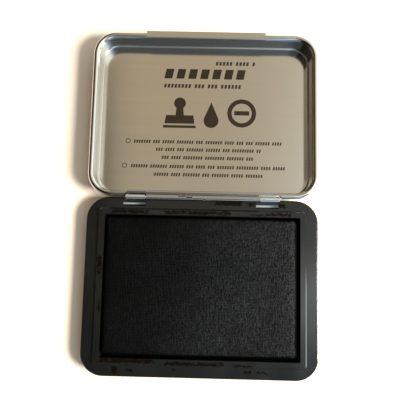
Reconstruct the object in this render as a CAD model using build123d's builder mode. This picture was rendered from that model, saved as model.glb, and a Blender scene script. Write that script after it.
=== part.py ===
from build123d import *
import os

os.makedirs("parts", exist_ok=True)

# An ink pad in a hinged tin, lying open. X runs along the hinge, +Y points from the tray to the
# lid and +Z is up. The origin is on the table, in the middle of the open tin. Millimetres.

# ---- Driving dimensions -------------------------------------------------------------------
# Hinge axis: along X. The lid turns half a turn about it, which lays its rim on the tray.
hinge_y = 0.4
hinge_z = 6.5

# Base tray
tray_width = 84.8
tray_rear = 0.35
tray_front = -63.5
tray_corner = 8.2
tray_edge = 0.6
flange_top = 5.2
flange = 1.2
skirt = 1.2
rib = 1.0
rib_foot = 1.0

# Well for the pad, and the raised band round it
well_width = 71.0
well_rear = -6.1
well_front = -56.8
well_corner = 0.8
well_wall = 1.2
well_floor = 1.0
band = 2.45
band_rise = 0.8
band_corner = 1.3
band_bevel = 0.4
band_inner_edge = 0.2

# Lid, a drawn tray of thin sheet with a rolled rim
sheet = 0.3
lid_width = 84.4
lid_rear = 0.7
lid_front = 62.95
lid_corner = 8.6
lid_depth = 7.65
lid_bottom_radius = 0.7
bead_radius = 1.1
bead_turn = 300

# Thumb tab, a flat hem at the middle of the lid's front rim
tab_tip = 63.5
tab_half_root = 22.4
tab_half_tip = 21.6
tab_top = 7.6
hem_bend = 0.2
bend = 0.3

# Hinge: the rolled tube of the lid runs between the two brackets on one pin
tube_half = 20.5
tube_radius = 0.8
tube_start = 60
tube_turn = 300
ridge_top = 7.6
ridge_width = 0.75
groove_y = 1.85
groove_z = 6.6
notch_half_root = 27.35
notch_half_tip = 29.0
lip_edge = 1.8
lip_edge_z = 6.95
pin_radius = 0.6
pin_head_radius = 0.9
pin_head = 0.15

# Hinge brackets, bent from strip
strip = 0.4
knuckle_inner = 20.9
knuckle_width = 6.95
knuckle_radius = 0.85
knuckle_turn = 280
rise_bend = 1.0
leaf_overhang = 1.2
ear_end = -0.4
tongue_y = -2.4
tongue_bend = 0.35
clinch_end = -4.3
fit = 0.15

# Pad: cloth over a felt core on a board
pad_gap = 0.5
pad_top = 6.1
pad_corner = 2.0
pad_edge = 1.2
cloth = 0.35
cloth_turn_in = 6.0
board = 0.8

# ---- Worked-out sizes ---------------------------------------------------------------------
tray_depth = tray_rear - tray_front
tray_mid = (tray_rear + tray_front) / 2
well_depth = well_rear - well_front
well_mid = (well_rear + well_front) / 2
flange_under = flange_top - flange

lid_mid = (lid_rear + lid_front) / 2
bead_z = lid_depth - bead_radius
bead_bend = bead_radius - sheet / 2
wall_in = 2 * bead_radius - sheet
wall_width = lid_width - 2 * wall_in
wall_length = lid_front - lid_rear - 2 * wall_in
wall_corner = lid_corner - wall_in
rear_wall = lid_rear + wall_in + sheet / 2
front_wall = lid_front - wall_in - sheet / 2

notch_lean = (notch_half_tip - notch_half_root) / wall_in

strip_z = flange_top - strip / 2
leaf_end = hinge_y - knuckle_radius - rise_bend
leaf_width = leaf_overhang + knuckle_width
clinch_z = flange_under - strip / 2 - 0.05
pad_width = well_width - 2 * pad_gap
pad_depth = well_depth - 2 * pad_gap
knuckle_starts = (-knuckle_inner - knuckle_width, knuckle_inner)


# ---- Base tray: one black moulding --------------------------------------------------------
with BuildPart() as base_tray:
    with BuildSketch(Plane.XY):
        with Locations((0, tray_mid)):
            RectangleRounded(tray_width, tray_depth, tray_corner)
    extrude(amount=flange_top)
    fillet(base_tray.faces().sort_by(Axis.Z)[-1].edges(), radius=tray_edge)

    # Raised band round the well, with a bevelled outer edge
    with BuildSketch(Plane.XY.offset(flange_top)):
        with Locations((0, well_mid)):
            RectangleRounded(well_width + 2 * band, well_depth + 2 * band, band_corner)
    extrude(amount=band_rise)
    chamfer(base_tray.faces().sort_by(Axis.Z)[-1].edges(), length=band_bevel)

    # The well that holds the pad
    with BuildSketch(Plane.XY.offset(well_floor)):
        with Locations((0, well_mid)):
            RectangleRounded(well_width, well_depth, well_corner)
    extrude(amount=flange_top + band_rise - well_floor, mode=Mode.SUBTRACT)
    band_face = base_tray.faces().filter_by(Plane.XY).sort_by(Axis.Z)[-1]
    fillet(band_face.inner_wires()[0].edges(), radius=band_inner_edge)

    # Hollow channel under the flange, open downwards, between the skirt and the well walls
    with BuildSketch(Plane.XY):
        with Locations((0, tray_mid)):
            RectangleRounded(tray_width - 2 * skirt, tray_depth - 2 * skirt, tray_corner - skirt)
        with Locations((0, well_mid)):
            RectangleRounded(
                well_width + 2 * well_wall,
                well_depth + 2 * well_wall,
                well_corner + well_wall,
                mode=Mode.SUBTRACT,
            )
    extrude(amount=flange_under, mode=Mode.SUBTRACT)

    # Cross ribs that stiffen the flange
    side_rib_x = (tray_width / 2 - skirt + well_width / 2 + well_wall) / 2
    side_rib_length = tray_width / 2 - skirt - well_width / 2 - well_wall + 0.4
    front_rib_y = (tray_front + skirt + well_front - well_wall) / 2
    front_rib_length = well_front - well_wall - tray_front - skirt + 0.4
    with BuildSketch(Plane.XY.offset(rib_foot)):
        with Locations((side_rib_x, well_mid), (-side_rib_x, well_mid)):
            with GridLocations(0, well_depth / 3, 1, 3):
                Rectangle(side_rib_length, rib)
        with Locations((0, front_rib_y)):
            with GridLocations(well_width / 4, 0, 4, 1):
                Rectangle(rib, front_rib_length)
    extrude(amount=flange_under - rib_foot)

    # Shallow seats for the bracket leaves, and the slots that their tongues pass through
    seat_rear = ear_end + fit
    seat_front = tongue_y - strip / 2 - fit
    for start in knuckle_starts:
        leaf_mid = start - leaf_overhang + leaf_width / 2
        with BuildSketch(Plane.XY.offset(flange_top - strip)):
            with Locations((leaf_mid, (seat_rear + seat_front) / 2)):
                Rectangle(leaf_width + 2 * fit, seat_rear - seat_front)
        extrude(amount=strip, mode=Mode.SUBTRACT)
        with BuildSketch(Plane.XY.offset(flange_under)):
            with Locations((leaf_mid, tongue_y)):
                Rectangle(leaf_width + 2 * fit, strip + 2 * fit)
        extrude(amount=flange, mode=Mode.SUBTRACT)
base_tray.part.label = "base_tray"
export_step(base_tray.part, "parts/base_tray.step")


# ---- Hinge brackets: strip clinched under the flange, seated flush, rolled round the pin ----
def bracket_solid(start):
    """One bracket whose knuckle begins at X = start."""
    with BuildPart() as bracket:
        # Hooked under the flange, up through the slot and flat in the seat
        with BuildSketch(Plane.YZ.offset(start - leaf_overhang)):
            with BuildLine():
                FilletPolyline(
                    (clinch_end, clinch_z),
                    (tongue_y, clinch_z),
                    (tongue_y, strip_z),
                    (leaf_end, strip_z),
                    radius=tongue_bend,
                )
            trace(line_width=strip)
        extrude(amount=leaf_width)

        # Ear: the leaf runs on flat beside the knuckle
        with BuildSketch(Plane.YZ.offset(start - leaf_overhang)):
            with BuildLine():
                Line((leaf_end - 0.1, strip_z), (ear_end, strip_z))
            trace(line_width=strip)
        extrude(amount=leaf_overhang)

        # Knuckle: a hollow sweep up from the leaf, over the pin and back underneath
        with BuildSketch(Plane.YZ.offset(start)):
            with BuildLine():
                rise = JernArc((leaf_end, strip_z), (1, 0), radius=rise_bend, arc_size=90)
                Line(rise @ 1, (hinge_y - knuckle_radius, hinge_z))
                CenterArc((hinge_y, hinge_z), knuckle_radius, start_angle=180, arc_size=-knuckle_turn)
            trace(line_width=strip)
        extrude(amount=knuckle_width)
    return bracket.part


for side, start in zip(("left", "right"), knuckle_starts):
    bracket_part = bracket_solid(start)
    bracket_part.label = f"hinge_bracket_{side}"
    export_step(bracket_part, f"parts/hinge_bracket_{side}.step")


# ---- Hinge pin: a wire through both knuckles and the lid's tube, peened at each end ---------
pin_half = knuckle_inner + knuckle_width + 0.05
with BuildPart() as hinge_pin:
    with BuildSketch(Plane.YZ.offset(-pin_half)):
        with Locations((hinge_y, hinge_z)):
            Circle(pin_radius)
    extrude(amount=2 * pin_half)
    for face_x, outward in ((-pin_half, -1), (pin_half, 1)):
        with BuildSketch(Plane((face_x, hinge_y, hinge_z), z_dir=(outward, 0, 0))):
            Circle(pin_head_radius)
        extrude(amount=pin_head)
    head_rims = hinge_pin.edges().filter_by(GeomType.CIRCLE).sort_by(Axis.X)
    fillet((head_rims[0], head_rims[-1]), radius=pin_head - 0.05)
hinge_pin.part.label = "hinge_pin"
export_step(hinge_pin.part, "parts/hinge_pin.step")


# ---- Lid: a drawn tray with a rolled rim, a thumb tab in front and the hinge tube behind -----
# Rolled rim: a hollow bead round three sides, as far as the hinge notches
bead_x = lid_width / 2 - bead_radius
bead_rear = lid_rear + bead_radius
bead_front = lid_front - bead_radius
rim_start = notch_half_root - 0.5
with BuildPart() as rolled_rim:
    with BuildLine() as rim_path:
        FilletPolyline(
            (-rim_start, bead_rear, bead_z),
            (-bead_x, bead_rear, bead_z),
            (-bead_x, bead_front, bead_z),
            (bead_x, bead_front, bead_z),
            (bead_x, bead_rear, bead_z),
            (rim_start, bead_rear, bead_z),
            radius=lid_corner - bead_radius,
        )
    with BuildSketch(Plane((-rim_start, bead_rear, bead_z), x_dir=(0, -1, 0), z_dir=(-1, 0, 0))):
        with BuildLine():
            CenterArc((0, 0), bead_bend, start_angle=180, arc_size=-bead_turn)
        trace(line_width=sheet)
    sweep(path=rim_path.wires()[0])

    # The bead stops at the slanted sides of the notches and at the ends of the thumb tab
    with BuildSketch(Plane.XY.offset(bead_z - bead_radius)):
        with BuildLine():
            Polyline(
                (0, lid_rear - 1),
                (notch_half_tip + notch_lean, lid_rear - 1),
                (notch_half_root - notch_lean * sheet, rear_wall + sheet / 2),
                (0, rear_wall + sheet / 2),
                close=True,
            )
        make_face()
        with BuildLine():
            Polyline(
                (0, front_wall - sheet / 2),
                (tab_half_root, front_wall - sheet / 2),
                (tab_half_tip, tab_tip),
                (0, tab_tip),
                close=True,
            )
        make_face()
        mirror(about=Plane.YZ)
    extrude(amount=2 * bead_radius, mode=Mode.SUBTRACT)

# The slanted ends of the bead are pinched shut
with BuildPart() as bead_ends:
    with BuildSketch(Plane.YZ.offset(notch_half_root - 0.5)):
        with Locations((bead_rear, bead_z)):
            Circle(bead_bend)
    extrude(amount=3)
    with BuildSketch(Plane.XY.offset(bead_z - bead_radius)):
        with BuildLine():
            Polyline(
                (notch_half_tip, lid_rear),
                (notch_half_root, lid_rear + wall_in),
                (notch_half_root + 1.5 * sheet, lid_rear + wall_in),
                (notch_half_tip + 1.5 * sheet, lid_rear),
                close=True,
            )
        make_face()
    extrude(amount=2 * bead_radius, mode=Mode.INTERSECT)
    mirror(about=Plane.YZ)

with BuildPart() as lid_shell:
    # Drawn tray
    with BuildSketch(Plane.XY):
        with Locations((0, lid_mid)):
            RectangleRounded(wall_width, wall_length, wall_corner)
    extrude(amount=bead_z)
    fillet(lid_shell.faces().sort_by(Axis.Z)[0].edges(), radius=lid_bottom_radius)
    offset(amount=-sheet, openings=lid_shell.faces().sort_by(Axis.Z)[-1])
    add(rolled_rim.part)
    add(bead_ends.part)

    # Hinge tube: over a small ridge, down into a groove, then up and right round the pin
    tube_top = PolarLine((hinge_y, hinge_z), tube_radius, tube_start, mode=Mode.PRIVATE) @ 1
    with BuildSketch(Plane.YZ.offset(-tube_half)):
        with BuildLine():
            FilletPolyline(
                (rear_wall, bead_z),
                (rear_wall, ridge_top - sheet / 2),
                (rear_wall - ridge_width, ridge_top - sheet / 2),
                (groove_y, groove_z),
                (tube_top.X, tube_top.Y),
                radius=bend,
            )
            CenterArc((hinge_y, hinge_z), tube_radius, start_angle=tube_start, arc_size=tube_turn)
        trace(line_width=sheet)
    extrude(amount=2 * tube_half)

    # In each notch the wall ends in a narrow sloping lip
    for notch in (-1, 1):
        lip_end = notch * (notch_half_root + 0.9)
        with BuildSketch(Plane.YZ.offset(min(notch * tube_half, lip_end))):
            with BuildLine():
                FilletPolyline(
                    (rear_wall, bead_z),
                    (rear_wall, ridge_top - sheet / 2),
                    (lip_edge, lip_edge_z),
                    radius=bend,
                )
            trace(line_width=sheet)
        extrude(amount=abs(lip_end) - tube_half)

    # Thumb tab: the edge turned out and folded back under itself
    with BuildSketch(Plane.YZ.offset(-tab_half_root)):
        with BuildLine():
            wall_top = (front_wall, tab_top - sheet / 2)
            out = FilletPolyline(
                (front_wall, bead_z),
                wall_top,
                (tab_tip - hem_bend - sheet / 2, tab_top - sheet / 2),
                radius=bend,
            )
            fold = JernArc(out @ 1, (1, 0), radius=hem_bend, arc_size=-180)
            Line(fold @ 1, (front_wall + 0.6, tab_top - sheet / 2 - 2 * hem_bend))
        trace(line_width=sheet)
    extrude(amount=2 * tab_half_root)
lid_shell.part.label = "lid_shell"
export_step(lid_shell.part, "parts/lid_shell.step")


# ---- Pad: cloth drawn over a felt core and tucked under a board ------------------------------
with BuildPart() as pad_cloth:
    with BuildSketch(Plane.XY.offset(well_floor)):
        with Locations((0, well_mid)):
            RectangleRounded(pad_width, pad_depth, pad_corner)
    extrude(amount=pad_top - well_floor)
    fillet(pad_cloth.faces().sort_by(Axis.Z)[-1].edges(), radius=pad_edge)
    offset(amount=-cloth, openings=pad_cloth.faces().sort_by(Axis.Z)[0])
    with BuildSketch(Plane.XY.offset(well_floor)):
        with Locations((0, well_mid)):
            RectangleRounded(pad_width - cloth, pad_depth - cloth, pad_corner)
            Rectangle(
                pad_width - 2 * cloth_turn_in, pad_depth - 2 * cloth_turn_in, mode=Mode.SUBTRACT
            )
    extrude(amount=cloth)
pad_cloth.part.label = "pad_cloth"
export_step(pad_cloth.part, "parts/pad_cloth.step")

core_width = pad_width - 2 * cloth
core_depth = pad_depth - 2 * cloth
core_corner = pad_corner - cloth
board_z = well_floor + cloth

with BuildPart() as backing_board:
    with BuildSketch(Plane.XY.offset(board_z)):
        with Locations((0, well_mid)):
            RectangleRounded(core_width, core_depth, core_corner)
    extrude(amount=board)
backing_board.part.label = "backing_board"
export_step(backing_board.part, "parts/backing_board.step")

with BuildPart() as felt_core:
    with BuildSketch(Plane.XY.offset(board_z + board)):
        with Locations((0, well_mid)):
            RectangleRounded(core_width, core_depth, core_corner)
    extrude(amount=pad_top - cloth - board_z - board)
    fillet(felt_core.faces().sort_by(Axis.Z)[-1].edges(), radius=pad_edge - cloth)
felt_core.part.label = "felt_core"
export_step(felt_core.part, "parts/felt_core.step")
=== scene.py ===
import bpy
import bmesh
import math
import random
from mathutils import Matrix, Vector


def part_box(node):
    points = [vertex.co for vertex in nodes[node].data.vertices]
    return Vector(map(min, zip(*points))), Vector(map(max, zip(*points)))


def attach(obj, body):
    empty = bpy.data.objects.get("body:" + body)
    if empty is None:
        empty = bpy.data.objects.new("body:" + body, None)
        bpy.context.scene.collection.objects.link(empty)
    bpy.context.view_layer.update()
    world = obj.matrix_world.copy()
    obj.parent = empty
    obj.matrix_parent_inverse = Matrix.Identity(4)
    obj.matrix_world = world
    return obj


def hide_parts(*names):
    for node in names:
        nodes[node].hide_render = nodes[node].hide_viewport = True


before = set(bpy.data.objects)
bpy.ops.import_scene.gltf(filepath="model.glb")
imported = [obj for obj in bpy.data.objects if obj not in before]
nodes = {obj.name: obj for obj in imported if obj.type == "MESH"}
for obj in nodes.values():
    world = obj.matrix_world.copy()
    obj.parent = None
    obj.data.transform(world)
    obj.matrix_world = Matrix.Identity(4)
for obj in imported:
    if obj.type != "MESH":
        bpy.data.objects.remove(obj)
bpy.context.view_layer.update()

MM = 0.001


# ---- Camera --------------------------------------------------------------------------------
def make_camera():
    """Almost straight down, a hand's breadth above the open tin, rolled a little."""
    data = bpy.data.cameras.new("camera")
    data.sensor_width = 36
    data.lens = 36.66
    data.clip_start = 0.005
    camera = bpy.data.objects.new("camera", data)
    bpy.context.scene.collection.objects.link(camera)
    pitch, yaw, roll = math.radians(5.624), math.radians(0.553), math.radians(1.28)
    turn = Matrix.Rotation(pitch, 4, "X") @ Matrix.Rotation(yaw, 4, "Y") @ Matrix.Rotation(roll, 4, "Z")
    camera.matrix_world = Matrix.Translation((0.54 * MM, -14.78 * MM, 154.12 * MM)) @ turn
    bpy.context.scene.camera = camera


make_camera()


# ---- Small helpers -------------------------------------------------------------------------
class Shader:
    """A node material being built: inputs are numbers, colours or the outputs of other nodes."""

    def __init__(self, name):
        self.material = bpy.data.materials.new(name)
        self.material.use_nodes = True
        self.tree = self.material.node_tree
        self.tree.nodes.clear()
        self.bsdf = self.add("ShaderNodeBsdfPrincipled")
        out = self.add("ShaderNodeOutputMaterial")
        self.tree.links.new(self.bsdf.outputs[0], out.inputs["Surface"])
        coords = self.add("ShaderNodeTexCoord")
        self.place = coords.outputs["Object"]
        self.facing = self.split(coords.outputs["Normal"])
        self.x, self.y, self.z = self.split(self.place)

    def add(self, kind, settings=None, **inputs):
        node = self.tree.nodes.new(kind)
        for key, value in (settings or {}).items():
            setattr(node, key, value)
        for key, value in inputs.items():
            self.put(node.inputs[key.replace("_", " ")], value)
        return node

    def put(self, socket, value):
        if isinstance(value, bpy.types.NodeSocket):
            self.tree.links.new(value, socket)
        else:
            socket.default_value = value

    def set(self, **inputs):
        for key, value in inputs.items():
            self.put(self.bsdf.inputs[key.replace("_", " ")], value)

    def split(self, vector):
        return self.add("ShaderNodeSeparateXYZ", Vector=vector).outputs[:3]

    def math(self, operation, a, b=0.0, c=0.0):
        node = self.add("ShaderNodeMath", {"operation": operation})
        for socket, value in zip(node.inputs, (a, b, c)):
            self.put(socket, value)
        return node.outputs[0]

    def ramp(self, value, low, high, to_low=0.0, to_high=1.0):
        """value runs from low to high; the answer runs smoothly from to_low to to_high."""
        node = self.add("ShaderNodeMapRange", {"interpolation_type": "SMOOTHSTEP"})
        pairs = {"Value": value, "From Min": low, "From Max": high, "To Min": to_low, "To Max": to_high}
        for key, v in pairs.items():
            self.put(node.inputs[key], v)
        return node.outputs["Result"]

    def stretched(self, scale, offset=(0, 0, 0)):
        node = self.add("ShaderNodeMapping", Vector=self.place, Scale=scale, Location=offset)
        return node.outputs["Vector"]

    def noise(self, scale, detail=4.0, roughness=0.55, vector=None):
        where = vector or self.place
        node = self.add("ShaderNodeTexNoise", Vector=where, Scale=scale, Detail=detail, Roughness=roughness)
        return node.outputs["Fac"]

    def mix(self, factor, a, b):
        node = self.add("ShaderNodeMix", {"data_type": "RGBA"})
        for socket, value in ((0, factor), (6, a), (7, b)):
            self.put(node.inputs[socket], value)
        return node.outputs[2]

    def blend(self, factor, a, b):
        """A number between a and b."""
        node = self.add("ShaderNodeMix", {"data_type": "FLOAT"})
        for socket, value in ((0, factor), (2, a), (3, b)):
            self.put(node.inputs[socket], value)
        return node.outputs[0]

    def outside_boxes(self, x, y, boxes):
        """How far x, y is outside the nearest box, in the boxes' own unit; below 0 inside."""
        outside = 50.0
        for middle_x, middle_y, half_x, half_y in boxes:
            over_x = self.math("SUBTRACT", self.math("ABSOLUTE", self.math("SUBTRACT", x, middle_x)), half_x)
            over_y = self.math("SUBTRACT", self.math("ABSOLUTE", self.math("SUBTRACT", y, middle_y)), half_y)
            outside = self.math("MINIMUM", self.math("MAXIMUM", over_x, over_y), outside)
        return outside

    def bump(self, height, distance, strength=1.0, normal=None):
        node = self.add("ShaderNodeBump", Height=height, Distance=distance, Strength=strength)
        if normal is not None:
            self.put(node.inputs["Normal"], normal)
        return node.outputs["Normal"]


def rgb(r, g, b):
    return (r, g, b, 1)


def paint(obj, material):
    obj.data.materials.clear()
    obj.data.materials.append(material)


def mesh_object(name, bm, smooth=True):
    mesh = bpy.data.meshes.new(name)
    bm.to_mesh(mesh)
    bm.free()
    for face in mesh.polygons:
        face.use_smooth = smooth
    obj = bpy.data.objects.new(name, mesh)
    bpy.context.scene.collection.objects.link(obj)
    return obj


# ---- Stage: pale table, soft window light from the right, dim warm room --------------------
def make_floor():
    bm = bmesh.new()
    bmesh.ops.create_grid(bm, x_segments=1, y_segments=1, size=20)
    floor = mesh_object("floor", bm)
    floor.location.z = -0.01 * MM
    s = Shader("table_white")
    s.set(Base_Color=rgb(0.8, 0.7, 0.57), Roughness=0.9)
    paint(floor, s.material)


def make_area(name, direction, distance, size, power, colour):
    data = bpy.data.lights.new(name, "AREA")
    data.shape = "RECTANGLE"
    data.size, data.size_y = size
    data.energy = power
    data.color = colour
    lamp = bpy.data.objects.new(name, data)
    lamp.location = Vector(direction).normalized() * distance
    lamp.rotation_mode = "QUATERNION"
    lamp.rotation_quaternion = (-lamp.location).to_track_quat("-Z", "Y")
    bpy.context.scene.collection.objects.link(lamp)
    return lamp


def make_room():
    """The room seen in the metal: warm overhead, bright towards the window, dark away from it."""
    world = bpy.data.worlds.new("room")
    world.use_nodes = True
    bpy.context.scene.world = world
    tree = world.node_tree
    tree.nodes.clear()

    def add(kind, **settings):
        node = tree.nodes.new(kind)
        for key, value in settings.items():
            setattr(node, key, value)
        return node

    def put(socket, value):
        if isinstance(value, bpy.types.NodeSocket):
            tree.links.new(value, socket)
        else:
            socket.default_value = value

    def along(axis, stops):
        """A colour that changes with one component of the direction, from -1 to 1."""
        fraction = add("ShaderNodeMapRange")
        put(fraction.inputs["Value"], direction.outputs[axis])
        put(fraction.inputs["From Min"], -1.0)
        ramp = add("ShaderNodeValToRGB")
        put(ramp.inputs["Fac"], fraction.outputs["Result"])
        elements = ramp.color_ramp.elements
        while len(elements) < len(stops):
            elements.new(0.5)
        for element, (at, colour) in zip(elements, stops):
            element.position = (at + 1) / 2
            element.color = rgb(*colour)
        return ramp.outputs["Color"]

    def combine(kind, a, b, factor=1.0):
        mix = add("ShaderNodeMix", data_type="RGBA", blend_type=kind)
        for socket, value in ((0, factor), (6, a), (7, b)):
            put(mix.inputs[socket], value)
        return mix.outputs[2]

    direction = add("ShaderNodeSeparateXYZ")
    where = add("ShaderNodeTexCoord").outputs["Generated"]
    put(direction.inputs[0], where)
    across = along(
        "X",
        [
            (-0.9, (0.03, 0.022, 0.015)),
            (-0.6, (0.014, 0.011, 0.008)),
            (-0.3, (0.006, 0.005, 0.004)),
            (-0.247, (0.008, 0.007, 0.006)),
            (-0.222, (0.175, 0.165, 0.138)),
            (-0.18, (0.192, 0.178, 0.15)),
            (0.0, (0.188, 0.173, 0.148)),
            (0.12, (0.202, 0.193, 0.175)),
            (0.235, (0.235, 0.237, 0.23)),
            (0.275, (0.37, 0.41, 0.43)),
            (0.4, (0.45, 0.48, 0.49)),
            (0.64, (0.46, 0.49, 0.5)),
            (0.9, (0.36, 0.37, 0.38)),
        ],
    )
    along_y = along(
        "Y",
        [
            (-0.85, (0.35, 0.42, 0.5)),
            (-0.45, (0.08, 0.115, 0.2)),
            (-0.3, (0.3, 0.42, 0.55)),
            (-0.17, (0.8, 0.88, 0.95)),
            (-0.05, (1.0, 1.0, 1.0)),
            (0.3, (1.0, 0.95, 0.88)),
            (0.7, (1.0, 0.95, 0.88)),
        ],
    )
    colour = combine("MULTIPLY", across, along_y)

    # Brighter panes: one seen in the tray's right flange, one in the lid's right notch
    for middle, reach, core, light in (
        ((0.262, -0.14, 0.955), 0.13, 0.03, (1.0, 1.0, 0.96)),
        ((0.26, -0.82, 0.51), 0.38, 0.13, (0.16, 0.21, 0.27)),
    ):
        away = add("ShaderNodeVectorMath", operation="DISTANCE")
        put(away.inputs[0], where)
        put(away.inputs[1], middle)
        near = add("ShaderNodeMapRange", interpolation_type="SMOOTHSTEP")
        for key, value in (("Value", away.outputs["Value"]), ("From Min", reach), ("From Max", core)):
            put(near.inputs[key], value)
        colour = combine("ADD", colour, rgb(*light), near.outputs["Result"])

    background = add("ShaderNodeBackground")
    put(background.inputs["Color"], colour)
    put(background.inputs["Strength"], 2.8)
    out = add("ShaderNodeOutputWorld")
    put(out.inputs["Surface"], background.outputs[0])


make_floor()
make_area("window", (0.77, -0.2, 0.61), 0.7, (0.24, 0.2), 15, (1.0, 0.98, 0.95))
warm_wall = make_area("warm_wall", (-0.7, 0.1, 0.7), 0.9, (0.6, 0.6), 0.9, (1.0, 0.62, 0.34))
warm_wall.visible_glossy = False
make_room()
bpy.context.scene.view_settings.view_transform = "Standard"


# ---- Materials of the CAD nodes ------------------------------------------------------------
# Dried ink on the tray, in millimetres: middle across and along, half width and half length
TRAY_STAINS = [
    (-26.2, -4.9, 6.6, 0.7),
    (-1.5, -4.9, 12.0, 0.6),
    (20.5, -5.3, 3.0, 0.3),
    (27.8, -5.0, 4.6, 0.5),
    (9.5, -1.2, 5.0, 0.8),
    (18.0, -1.5, 1.4, 0.6),
    (29.0, -1.7, 1.5, 0.8),
    (-25.5, -57.6, 9.8, 0.8),
    (-2.0, -58.2, 10.4, 0.6),
    (15.6, -58.5, 3.6, 0.4),
    (-29.8, -61.1, 0.8, 1.2),
    (-24.7, -61.2, 1.0, 0.35),
    (-8.7, -60.4, 0.6, 0.4),
    (17.0, -60.8, 1.5, 0.4),
    (22.2, -60.8, 1.6, 0.35),
    (-36.6, -24.5, 0.7, 3.3),
    (-36.0, -39.0, 0.4, 2.2),
    (4.0, -3.6, 0.25, 0.2),
    (-6.0, -3.3, 0.2, 0.2),
]


def tray_material():
    s = Shader("tray_black_moulding")
    grain = s.noise(2200, 3)
    smear = s.noise(1.0, 5, vector=s.stretched((140, 45, 60)))
    ragged_x = s.math("MULTIPLY_ADD", s.noise(900, 6, 0.75), 5.0, -2.5)
    ragged_y = s.math("MULTIPLY_ADD", s.noise(900, 6, 0.75, s.stretched((1, 1, 1), (3, 7, 1))), 3.2, -1.6)
    x = s.math("ADD", s.math("MULTIPLY", s.x, 1000), ragged_x)
    y = s.math("ADD", s.math("MULTIPLY", s.y, 1000), ragged_y)
    outside = s.outside_boxes(x, y, TRAY_STAINS)
    on_top = s.ramp(s.z, 4.9 * MM, 5.1 * MM)
    patchy = s.ramp(s.noise(650, 5, 0.7, s.stretched((1, 1, 1), (1, 4, 2))), 0.38, 0.46)
    ink = s.math("MULTIPLY", s.math("MULTIPLY", s.ramp(outside, 0.12, -0.12), patchy), on_top)
    # Painted highlight: the band's right outer bevel is lightened towards the front, standing in for the
    # window's gleam on it
    bevel = s.math("MULTIPLY", s.ramp(s.z, 5.5 * MM, 5.65 * MM), s.ramp(s.x, 37.5 * MM, 37.6 * MM))
    painted_bevel_highlight = s.math("MULTIPLY", bevel, s.ramp(s.y, -22 * MM, -32 * MM))
    plastic = s.mix(smear, rgb(0.0035, 0.0036, 0.003), rgb(0.005, 0.0052, 0.0045))
    plastic = s.mix(painted_bevel_highlight, plastic, rgb(0.085, 0.095, 0.1))
    s.set(Base_Color=s.mix(ink, plastic, rgb(0.003, 0.0014, 0.0006)))
    # The well and the edge of its mouth are matt with soaked-in ink
    over_x = s.math("SUBTRACT", s.math("ABSOLUTE", s.x), 35.75 * MM)
    over_y = s.math("SUBTRACT", s.math("ABSOLUTE", s.math("ADD", s.y, 31.45 * MM)), 25.6 * MM)
    well = s.ramp(s.math("MAXIMUM", over_x, over_y), 0.06 * MM, 0)
    dull = s.blend(ink, s.ramp(smear, 0.35, 0.7, 0.15, 0.24), 0.12)
    s.set(Roughness=s.blend(well, dull, 0.8))
    s.set(Specular_IOR_Level=s.blend(well, s.blend(ink, 0.5, 0.1), 0.03))
    moulded = s.bump(grain, 0.008 * MM, 0.3)
    s.set(Normal=s.bump(ink, 0.02 * MM, 0.5, moulded))
    return s.material


def steel_material(name, tint, roughness, specks=()):
    """Brushed sheet: soft lines along X under a warm lacquer, worn brighter where it is bent."""
    s = Shader(name)
    lines = s.noise(1.0, 2, vector=s.stretched((18, 800, 800)))
    flat = s.ramp(s.facing[2], 0.8, 0.98)
    dark = [0.93 * c for c in tint]
    colour = s.mix(flat, rgb(0.78, 0.8, 0.79), s.mix(lines, rgb(*dark), rgb(*tint)))
    dull = s.blend(flat, 0.8 * roughness, roughness)
    metal = 1.0
    if specks:
        # Darker metal colour over the hinge strip at the rear of the lid, where Y is below about 3 mm
        hinge_strip_darkening = s.ramp(s.y, 3.5 * MM, 2.9 * MM)
        colour = s.mix(hinge_strip_darkening, colour, rgb(0.56, 0.54, 0.5))
        ragged = s.math("MULTIPLY_ADD", s.noise(900, 4, 0.7), 1.6, -0.8)
        x = s.math("ADD", s.math("MULTIPLY", s.x, 1000), ragged)
        y = s.math("ADD", s.math("MULTIPLY", s.y, 1000), ragged)
        ink = s.ramp(s.outside_boxes(x, y, specks), 0.1, -0.1)
        colour = s.mix(ink, colour, rgb(0.004, 0.002, 0.001))
        metal = s.math("SUBTRACT", 1.0, ink)
    s.set(Base_Color=colour, Metallic=metal, Roughness=dull)
    return s.material


def chrome_material():
    s = Shader("plated_strip")
    lines = s.noise(1.0, 2, vector=s.stretched((120, 2400, 2400)))
    plated = s.mix(lines, rgb(0.84, 0.87, 0.89), rgb(0.92, 0.94, 0.95))
    # Painted shade: the leaves are darkened under the knuckles, where the knuckles' shadow and reflection
    # fall, and darker towards their right ends
    along = s.math("MODULO", s.math("ADD", s.x, 29.05 * MM), 48.75 * MM)
    knuckle_shade_and_right_ends = s.math("MAXIMUM", s.ramp(s.y, -1.8 * MM, -1.45 * MM), s.ramp(along, 3 * MM, 7.5 * MM, 0, 0.85))
    leaf_shade_and_darker_ends = s.math("MULTIPLY", knuckle_shade_and_right_ends, s.ramp(s.z, 5.7 * MM, 5.3 * MM))
    s.set(Base_Color=s.mix(leaf_shade_and_darker_ends, plated, rgb(0.07, 0.075, 0.08)))
    s.set(Metallic=1.0)
    s.set(Roughness=s.ramp(lines, 0.3, 0.7, 0.1, 0.16))
    return s.material


def felt_material():
    s = Shader("inked_felt")
    fuzz = s.noise(1800, 6, 0.7)
    s.set(Base_Color=s.mix(fuzz, rgb(0.001, 0.001, 0.001), rgb(0.004, 0.004, 0.004)))
    s.set(Roughness=0.95, Specular_IOR_Level=0.05, Normal=s.bump(fuzz, 0.15 * MM))
    return s.material


def board_material():
    s = Shader("grey_board")
    fibre = s.noise(900, 6, 0.65)
    s.set(Base_Color=s.mix(fibre, rgb(0.28, 0.22, 0.16), rgb(0.42, 0.35, 0.27)))
    s.set(Roughness=0.9, Normal=s.bump(fibre, 0.05 * MM))
    return s.material


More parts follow.
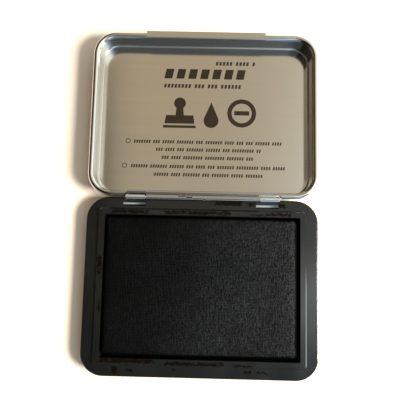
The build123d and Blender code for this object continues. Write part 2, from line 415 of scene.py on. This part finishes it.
TUBE_SPECKS = [(-7.6, 0.8, 1.4, 0.3), (-4.8, 0.6, 1.1, 0.35), (0.7, -0.1, 0.4, 0.3), (2.6, -0.5, 0.6, 0.25)]
paint(nodes["base_tray"], tray_material())
paint(nodes["lid_shell"], steel_material("lid_brushed_steel", (0.72, 0.66, 0.55), 0.14, TUBE_SPECKS))
paint(nodes["hinge_pin"], steel_material("pin_drawn_wire", (0.7, 0.68, 0.63), 0.25))
bracket_finish = chrome_material()
paint(nodes["hinge_bracket_left"], bracket_finish)
paint(nodes["hinge_bracket_right"], bracket_finish)
paint(nodes["felt_core"], felt_material())
paint(nodes["backing_board"], board_material())


# ---- Pad: woven cloth drawn over the felt, swelled a little by cloth simulation ------------
def rounded_box(low, high, corner, edge, step):
    """A closed quad mesh of a box: corner rounds it in plan and edge rounds its rims."""
    size = high - low
    counts = [max(3, round(length / step)) for length in size]
    bm = bmesh.new()
    made = {}

    def to_disc(a, b):
        """Squeezes a square onto the round quarter inside it."""
        length = math.hypot(a, b)
        return max(abs(a), abs(b)) / length if length else 1.0

    def vertex(key):
        if key not in made:
            x, y, z = (low[a] + size[a] * key[a] / counts[a] for a in range(3))
            core_x = min(max(x, low.x + corner), high.x - corner)
            core_y = min(max(y, low.y + corner), high.y - corner)
            away = Vector((x - core_x, y - core_y))
            away *= to_disc(*away)
            inward = corner - edge - away.length
            if inward < 0 and away.length:
                level = min(max(z, low.z + edge), high.z - edge)
                squeeze = to_disc(-inward, z - level)
                away *= (corner - edge - inward * squeeze) / away.length
                z = level + (z - level) * squeeze
            made[key] = bm.verts.new((core_x + away.x, core_y + away.y, z))
        return made[key]

    for axis in range(3):
        a, b = (axis + 1) % 3, (axis + 2) % 3
        for end in (0, counts[axis]):
            for i in range(counts[a]):
                for j in range(counts[b]):
                    ring = []
                    for u, v in ((0, 0), (1, 0), (1, 1), (0, 1)):
                        key = [0, 0, 0]
                        key[axis], key[a], key[b] = end, i + u, j + v
                        ring.append(vertex(tuple(key)))
                    bm.faces.new(ring if end else ring[::-1])
    return bm


def swell(obj, scale, pinned, pressure, frames, cap):
    """Blows the piece up as cloth, in a copy scale times its size, then keeps moves under cap."""
    rest = [v.co.copy() for v in obj.data.vertices]
    copy = obj.data.copy()
    copy.transform(Matrix.Scale(scale, 4))
    blown = bpy.data.objects.new("swelling", copy)
    bpy.context.scene.collection.objects.link(blown)
    group = blown.vertex_groups.new(name="held")
    group.add([i for i, p in enumerate(rest) if pinned(p)], 1.0, "REPLACE")
    cloth = blown.modifiers.new("cloth", "CLOTH")
    cloth.settings.quality = 6
    cloth.settings.mass = 0.3
    cloth.settings.tension_stiffness = 25
    cloth.settings.compression_stiffness = 25
    cloth.settings.bending_stiffness = 3
    cloth.settings.vertex_group_mass = "held"
    cloth.settings.use_pressure = True
    cloth.settings.uniform_pressure_force = pressure
    cloth.settings.effector_weights.gravity = 0
    cloth.point_cache.frame_end = frames
    scene = bpy.context.scene
    for f in range(1, frames + 1):
        scene.frame_set(f)
    result = blown.evaluated_get(bpy.context.evaluated_depsgraph_get()).data
    for vertex, p in zip(result.vertices, rest):
        move = vertex.co / scale - p
        if move.length > cap:
            move = move.normalized() * cap
        obj.data.vertices[vertex.index].co = p + move
    scene.frame_set(1)
    bpy.data.objects.remove(blown)
    bpy.data.meshes.remove(copy)


def subdivide(obj, levels):
    modifier = obj.modifiers.new("smooth", "SUBSURF")
    modifier.levels = modifier.render_levels = levels
    bpy.context.view_layer.update()
    final = bpy.data.meshes.new_from_object(obj.evaluated_get(bpy.context.evaluated_depsgraph_get()))
    obj.modifiers.clear()
    obj.data = final


THREAD_PITCH = 0.52 * MM


def cloth_material():
    s = Shader("inked_weave")
    pitch = THREAD_PITCH
    u = s.math("DIVIDE", s.math("ADD", s.x, s.math("MULTIPLY_ADD", s.noise(160, 3), 1.6 * MM, 0)), pitch)
    v = s.math("DIVIDE", s.math("ADD", s.y, s.math("MULTIPLY_ADD", s.noise(140, 3), 1.2 * MM, 0)), pitch)

    def thread(across):
        """A rounded thread: 1 along its middle and 0 in the gaps."""
        swing = s.math("MULTIPLY_ADD", s.math("FRACT", across), 2.0, -1.0)
        return s.math("SUBTRACT", 1.0, s.math("POWER", s.math("ABSOLUTE", swing), 2.5))

    cells = s.math("ADD", s.math("FLOOR", u), s.math("FLOOR", v))
    over = s.math("MODULO", s.math("ABSOLUTE", cells), 2.0)
    warp = s.math("MULTIPLY", thread(u), s.math("MULTIPLY_ADD", over, 0.45, 0.55))
    weft = s.math("MULTIPLY", thread(v), s.math("MULTIPLY_ADD", over, -0.45, 1.0))
    slub = s.noise(1.0, 4, 0.65, s.stretched((2300, 520, 1500)))
    weave = s.math("MULTIPLY", s.math("MAXIMUM", warp, weft), s.math("MULTIPLY_ADD", slub, 1.3, 0.3))
    soaked = s.ramp(s.noise(70, 4), 0.3, 0.7)
    # Painted sheen: greyer towards the front right corner, where the threads catch the window light
    painted_sheen_right = s.ramp(s.math("SUBTRACT", s.x, s.math("MULTIPLY", s.y, 0.35)), -25 * MM, 45 * MM, 0.12, 1.0)
    streak = s.ramp(s.noise(1.0, 3, 0.7, s.stretched((2700, 1100, 1500), (5, 2, 0))), 0.3, 0.72)
    grey = s.math("MULTIPLY", s.math("MULTIPLY", s.ramp(weave, 0.35, 1.1), streak), painted_sheen_right)
    grey = s.math("MULTIPLY", grey, s.math("MULTIPLY_ADD", soaked, 0.7, 0.6))
    # Painted shade: the sides of the pad get none of the thread tone and no reflection, so they stay black
    top = s.ramp(s.facing[2], 0.8, 0.99)
    grey = s.math("MULTIPLY", grey, top)
    s.set(Base_Color=s.mix(grey, rgb(0.0009, 0.001, 0.0008), rgb(0.019, 0.02, 0.0215)))
    s.set(Roughness=s.blend(top, 0.95, s.blend(soaked, 0.45, 0.56)), IOR=s.blend(top, 1.0, 1.45))
    s.set(Specular_IOR_Level=s.math("MULTIPLY", top, s.blend(grey, 0.03, 0.18)))
    s.set(Normal=s.bump(weave, 0.11 * MM, 0.8))
    return s.material


# How far the pad sits from its CAD box, to leave the gaps that the photograph shows
PAD_SHIFT_LOW = Vector((-0.35, 0.1, 0)) * MM
PAD_SHIFT_HIGH = Vector((-0.1, 0.35, 0)) * MM
PAD_CORNER = 2.1 * MM
PAD_EDGE = 0.9 * MM
PAD_MESH_STEP = 0.8 * MM
PAD_HELD_HEIGHT = 1.0 * MM
PAD_MOVE_CAP = 0.3 * MM


def make_pad():
    low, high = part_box("pad_cloth")
    low = low + PAD_SHIFT_LOW
    high = high + PAD_SHIFT_HIGH
    pad = mesh_object("ink_pad_cloth", rounded_box(low, high, PAD_CORNER, PAD_EDGE, PAD_MESH_STEP))
    swell(pad, 10, lambda p: p.z < low.z + PAD_HELD_HEIGHT, 2.0, 16, PAD_MOVE_CAP)
    subdivide(pad, 1)
    paint(pad, cloth_material())
    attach(pad, "base")
    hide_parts("pad_cloth")


make_pad()


# ---- Print inside the lid: plain pictograms and dummy lines, no lettering -------------------
class Print:
    """Thin flat shapes on the lid's floor, in millimetres in the frame's X and Y."""

    def __init__(self, bottom, thickness):
        self.bm = bmesh.new()
        self.bottom, self.thickness = bottom, thickness

    def shape(self, outline):
        """One filled shape with its edges closed."""
        base = [self.bm.verts.new((x * MM, y * MM, self.bottom)) for x, y in outline]
        top = [self.bm.verts.new(v.co + Vector((0, 0, self.thickness))) for v in base]
        self.bm.faces.new(base[::-1])
        self.bm.faces.new(top)
        for i in range(len(base)):
            j = (i + 1) % len(base)
            self.bm.faces.new((base[i], base[j], top[j], top[i]))

    def slanted(self, x, y, width, height, lean=0.0):
        shift = lean * height
        self.shape([(x, y), (x + width, y), (x + width + shift, y + height), (x + shift, y + height)])

    def ring(self, x, y, outer, inner, steps=32):
        """A ring made of short filled pieces."""
        for i in range(steps):
            a = math.tau * i / steps
            b = math.tau * (i + 1) / steps
            self.shape(
                [
                    (x + outer * math.cos(a), y + outer * math.sin(a)),
                    (x + outer * math.cos(b), y + outer * math.sin(b)),
                    (x + inner * math.cos(b), y + inner * math.sin(b)),
                    (x + inner * math.cos(a), y + inner * math.sin(a)),
                ]
            )


LID_SHEET = 0.3 * MM
PRINT_LIFT = 0.002 * MM
PRINT_THICKNESS = 0.012 * MM


def dummy_line(page, left, right, y, height, pitch, chance):
    """A row of equal slanted ticks in word-length groups, which stands for small print."""
    x = left
    while x < right - pitch:
        for _ in range(chance.randint(3, 9)):
            if x > right - pitch:
                break
            page.slanted(x, y, 0.64 * pitch, height, 0.16)
            x += pitch
        x += 0.8 * pitch


def arc(x, y, radius, degrees):
    """Points on a circle round x, y at the given angles."""
    return [(x + radius * math.cos(math.radians(d)), y + radius * math.sin(math.radians(d))) for d in degrees]


def make_print():
    page = Print(LID_SHEET + PRINT_LIFT, PRINT_THICKNESS)
    chance = random.Random(7)

    # Band of slanted blocks between two dummy lines
    for i in range(7):
        page.slanted(-16.0 + 4.65 * i, 47.9, 3.1, 3.9, 0.2)
    dummy_line(page, 4.0, 19.8, 53.5, 1.5, 1.35, chance)
    dummy_line(page, -16.0, 14.6, 44.2, 1.5, 1.35, chance)

    # Hand stamp: knob, neck and block
    knob = arc(-9.6, 38, 2.3, range(-55, 236, 10))
    block = [(-11.2, 33.2), (-14.9, 33.2), (-15.4, 29.9), (-3.8, 29.9), (-4.3, 33.2), (-8.0, 33.2)]
    page.shape(knob + block)
    page.shape([(-15.9, 28.2), (-3.3, 28.2), (-3.3, 29.2), (-15.9, 29.2)])

    # Ink drop
    page.shape(arc(2.6, 31.3, 2.9, range(150, 391, 12)) + [(2.6, 38.6)])

    # Round impression with a bar across it
    page.ring(14.4, 34.4, 5.6, 3.9)
    page.slanted(11.5, 33.6, 5.8, 1.7)

    # Two paragraphs of dummy lines, each with a small ring before it
    for left, right, y in (
        (-27.0, 30.5, 22.0),
        (-18.4, 22.4, 19.0),
        (-16.0, 20.5, 15.9),
        (-27.8, 32.4, 12.4),
        (-18.8, 23.6, 9.3),
    ):
        dummy_line(page, left, right, y, 1.25, 0.95, chance)
    for x, y in ((-29.2, 22.7), (-30.2, 13.1)):
        page.ring(x, y, 0.95, 0.7, 16)

    marks = mesh_object("lid_print", page.bm, smooth=False)
    s = Shader("print_brown")
    patchy = s.noise(1500, 3)
    s.set(Base_Color=s.mix(patchy, rgb(0.012, 0.007, 0.003), rgb(0.02, 0.012, 0.006)))
    s.set(Roughness=0.5, Specular_IOR_Level=0.15)
    paint(marks, s.material)
    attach(marks, "lid")


make_print()
